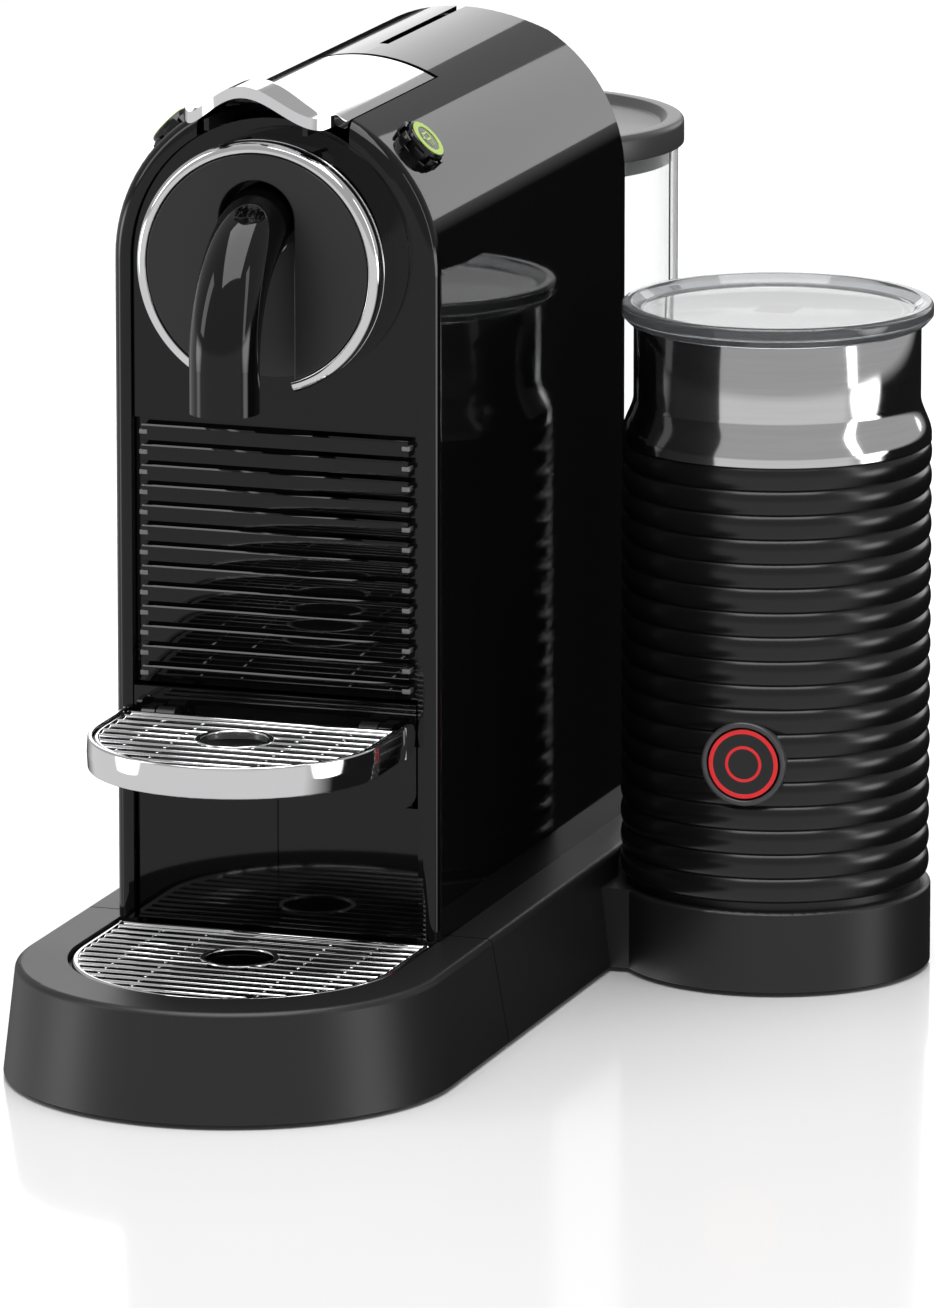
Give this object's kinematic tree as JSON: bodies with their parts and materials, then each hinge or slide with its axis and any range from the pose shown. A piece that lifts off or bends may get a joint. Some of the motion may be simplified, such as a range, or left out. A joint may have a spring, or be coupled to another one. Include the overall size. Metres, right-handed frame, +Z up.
{
  "type": "pod coffee machine",
  "caption": "Capsule coffee machine with arched body, lift-up lever, folding cup shelf, pull-out drip tray, rear water tank and a milk frother on a side pedestal.",
  "frame": {"origin": "centre of the object's footprint box, on the table", "axes": "+Z up; -Y towards the user (the coffee outlet); +X towards the milk frother"},
  "size_m": [0.219, 0.372, 0.2834],
  "materials": {
    "satin_black_base": "fine satin moulded ABS, soft grey sheen",
    "rubber_black": "matt black rubber",
    "steel_plated": "bright zinc-plated or ground steel",
    "black_moulding": "plain black moulding, slightly matt",
    "gloss_black": "piano-black gloss",
    "charcoal_satin": "satin charcoal disc",
    "chrome": "bright polished chrome plating",
    "button_green": "black cap with a printed green ring",
    "stainless": "pressed stainless steel",
    "brass_tube": "turned brass",
    "coil_plastic": "overmoulded coil, matt dark grey",
    "cast_aluminium": "die-cast aluminium",
    "circuit_board": "green solder mask with parts",
    "silicone_hose": "milky silicone tube",
    "clear_tank": "clear moulded polymer, light smoke tint",
    "lid_grey": "matt dark grey lid",
    "ribbed_sleeve": "satin black, ribbed",
    "non_stick": "dark non-stick coating",
    "motor_steel": "plain steel can",
    "grey_bezel": "dark grey ring",
    "button_black": "black cap with two red light rings",
    "smoky_lid": "smoky clear polymer lid"
  },
  "bodies": {
    "machine": {"base_shell": "satin_black_base", "base_plate": "satin_black_base", "feet": "rubber_black", "base_screws": "steel_plated", "cord_grommet": "rubber_black", "base_connectors": "black_moulding", "chassis_frame": "black_moulding", "side_shell_left": "gloss_black", "side_shell_right": "gloss_black", "front_bezel": "gloss_black", "rear_wall": "gloss_black", "front_panel": "gloss_black", "louvre_slats": "gloss_black", "brew_ring": "chrome", "brew_disc": "charcoal_satin", "coffee_spout": "gloss_black", "spout_nozzle": "black_moulding", "brew_housing": "black_moulding", "pierce_plate": "stainless", "lever_pin": "steel_plated", "button_collars": "black_moulding", "button_switches": "black_moulding", "pump_body": "brass_tube", "pump_coil": "coil_plastic", "pump_mounts": "rubber_black", "flow_meter": "black_moulding", "thermoblock": "cast_aluminium", "control_board": "circuit_board", "water_hoses": "silicone_hose"},
    "lever": {"lever_cover": "chrome", "lever_yoke": "black_moulding"},
    "capsule_carriage": {"capsule_cage": "black_moulding", "cage_seal": "rubber_black"},
    "plunger": {"pump_plunger": "steel_plated"},
    "button_left": {"button_cap_left": "button_green"},
    "button_right": {"button_cap_right": "button_green"},
    "tray_module": {"tray_front": "satin_black_base", "inner_tray": "black_moulding", "capsule_container": "black_moulding", "container_front": "gloss_black", "hinge_panel": "gloss_black", "cup_hinge_pins": "steel_plated"},
    "drip_grid_body": {"drip_grid": "chrome"},
    "cup_shelf": {"cup_support_frame": "black_moulding", "cup_band": "chrome", "cup_grid": "chrome"},
    "tank_body": {"tank": "clear_tank"},
    "tank_valve_body": {"tank_valve": "black_moulding"},
    "tank_lid_body": {"tank_lid": "lid_grey"},
    "jug": {"frother_sleeve": "ribbed_sleeve", "frother_bottom": "black_moulding", "frother_collar": "chrome", "frother_pot": "non_stick", "frother_motor": "motor_steel", "frother_button_bezel": "grey_bezel"},
    "jug_lid": {"frother_lid": "smoky_lid", "frother_lid_clip": "black_moulding"},
    "whisk_body": {"whisk": "black_moulding"},
    "drive_rotor": {"drive_magnet": "motor_steel"},
    "frother_button_body": {"frother_button": "button_black"}
  },
  "joints": [
    {"name": "lever_lift", "type": "hinge", "parent": "machine", "child": "lever", "pos_m": [-0.04385, -0.03855, 0.2646], "axis": [-1, 0, 0], "range_deg": [0, 75]},
    {"name": "cage_slide", "type": "slide", "parent": "machine", "child": "capsule_carriage", "axis": [0, 1, 0], "range_m": [0, 0.0141]},
    {"name": "pump_stroke", "type": "slide", "parent": "machine", "child": "plunger", "axis": [0, 1, 0], "range_m": [-0.0025, 0.0025], "stiffness_N_per_m": 600},
    {"name": "button_left_press", "type": "slide", "parent": "machine", "child": "button_left", "axis": [0.7373, 0, -0.6756], "range_m": [0, 0.0012], "stiffness_N_per_m": 400, "springref_m": -0.001},
    {"name": "button_right_press", "type": "slide", "parent": "machine", "child": "button_right", "axis": [-0.7373, 0, -0.6756], "range_m": [0, 0.0012], "stiffness_N_per_m": 400, "springref_m": -0.001},
    {"name": "tray_slide", "type": "slide", "parent": "machine", "child": "tray_module", "axis": [0, -1, 0], "range_m": [0, 0.11]},
    {"name": "drip_grid_lift", "type": "slide", "parent": "tray_module", "child": "drip_grid_body", "axis": [0, 0, 1], "range_m": [0, 0.02]},
    {"name": "cup_shelf_fold", "type": "hinge", "parent": "tray_module", "child": "cup_shelf", "pos_m": [-0.04385, -0.08905, 0.094], "axis": [-1, 0, 0], "range_deg": [0, 88]},
    {"name": "tank_lift", "type": "slide", "parent": "machine", "child": "tank_body", "axis": [0, 0, 1], "range_m": [0, 0.06]},
    {"name": "tank_valve_open", "type": "slide", "parent": "tank_body", "child": "tank_valve_body", "axis": [0, 0, 1], "range_m": [0, 0.002], "stiffness_N_per_m": 80, "springref_m": -0.001},
    {"name": "tank_lid_lift", "type": "slide", "parent": "tank_body", "child": "tank_lid_body", "axis": [0, 0, 1], "range_m": [0, 0.03]},
    {"name": "jug_lift", "type": "slide", "parent": "machine", "child": "jug", "axis": [0, 0, 1], "range_m": [0, 0.06]},
    {"name": "jug_lid_lift", "type": "slide", "parent": "jug", "child": "jug_lid", "axis": [0, 0, 1], "range_m": [0, 0.03]},
    {"name": "whisk_spin", "type": "hinge", "parent": "jug", "child": "whisk_body", "pos_m": [0.06335, 0.05515, 0.075], "axis": [0, 0, 1], "continuous": true},
    {"name": "rotor_spin", "type": "hinge", "parent": "jug", "child": "drive_rotor", "pos_m": [0.06335, 0.05515, 0.06], "axis": [0, 0, 1], "continuous": true},
    {"name": "frother_button_press", "type": "slide", "parent": "jug", "child": "frother_button_body", "axis": [-0.0958, 0.9954, 0], "range_m": [0, 0.0012], "stiffness_N_per_m": 400, "springref_m": -0.001}
  ],
  "couplings": [
    {"joint": "cage_slide", "follows": "lever_lift", "m_per_rad": 0.010695},
    {"joint": "whisk_spin", "follows": "rotor_spin", "ratio": 1}
  ]
}
